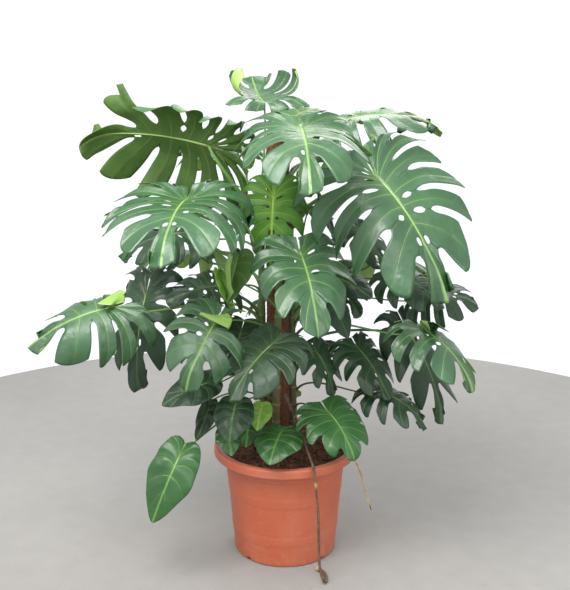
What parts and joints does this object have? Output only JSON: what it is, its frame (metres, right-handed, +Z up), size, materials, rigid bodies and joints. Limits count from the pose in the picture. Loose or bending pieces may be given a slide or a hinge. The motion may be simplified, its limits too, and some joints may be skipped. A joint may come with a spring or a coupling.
{
  "type": "potted monstera plant",
  "caption": "Large potted split-leaf houseplant on a coir pole, in a tapered round plastic nursery container, for standing on a floor.",
  "frame": {"origin": "middle of the pot's flat underside", "axes": "+Z up along the pot's axis, -Y towards the plant's front, +X to the viewer's right"},
  "size_m": [1.3762, 1.0719, 1.5136],
  "materials": {
    "pot_plastic": "terracotta-coloured moulded plastic, satin, slightly scuffed",
    "potting_soil": "damp crumbly dark potting mix with bark and fibre",
    "coir": "matted reddish-brown coconut fibre",
    "stem_bark": "grey-green ringed stem with brown leaf scars",
    "root_bark": "brown corky root skin, paler at the tip",
    "leaf_green": "leathery deep green blade, glossy above, paler ribs, matt underside",
    "young_leaf_green": "thin mid-green blade, satin, pale ribs"
  },
  "bodies": {
    "root": {"pot": "pot_plastic", "soil": "potting_soil", "coir_pole": "coir", "stem_front": "stem_bark", "stem_left": "stem_bark", "stem_right": "stem_bark", "aerial_root_long": "root_bark", "aerial_root_short": "root_bark", "leaf_upper_left": "leaf_green", "leaf_upper_front_left": "leaf_green", "leaf_top_front": "leaf_green", "leaf_centre_bright": "leaf_green", "leaf_centre_front": "leaf_green", "leaf_right_front": "leaf_green", "leaf_low_left_front": "leaf_green", "leaf_far_left": "leaf_green", "leaf_left_dark": "leaf_green", "leaf_left_inner": "leaf_green", "leaf_low_centre": "leaf_green", "leaf_low_right": "leaf_green", "leaf_centre_left_tip": "leaf_green", "leaf_right_low_front": "leaf_green", "leaf_right_far": "leaf_green", "leaf_right_mid": "leaf_green", "leaf_right_hanging": "leaf_green", "leaf_right_bottom": "leaf_green", "leaf_right_inner_low": "leaf_green", "leaf_right_dark": "leaf_green", "leaf_top_back": "leaf_green", "leaf_top_right_curl": "leaf_green", "leaf_top_right": "leaf_green", "leaf_centre_right_dark": "leaf_green", "leaf_left_back_upper": "leaf_green", "leaf_back_high_left": "leaf_green", "leaf_back_high_right": "leaf_green", "leaf_back_middle": "leaf_green", "leaf_back_left": "leaf_green", "leaf_back_right": "leaf_green", "leaf_back_low_middle": "leaf_green", "leaf_back_low_left": "leaf_green", "leaf_back_low_right": "leaf_green", "leaf_inner_right": "leaf_green", "leaf_inner_low_right": "leaf_green", "leaf_lime_fold": "young_leaf_green", "leaf_low_left_oval": "young_leaf_green", "leaf_low_dark_heart": "young_leaf_green", "leaf_low_edge_on": "young_leaf_green", "leaf_outside_heart": "young_leaf_green", "leaf_front_heart": "young_leaf_green", "leaf_small_left_heart": "young_leaf_green", "leaf_small_round": "young_leaf_green", "leaf_small_lime": "young_leaf_green", "leaf_right_inner": "young_leaf_green", "leaf_centre_right_low": "young_leaf_green", "leaf_olive_fold": "young_leaf_green", "leaf_back_heart": "young_leaf_green"}
  },
  "joints": []
}
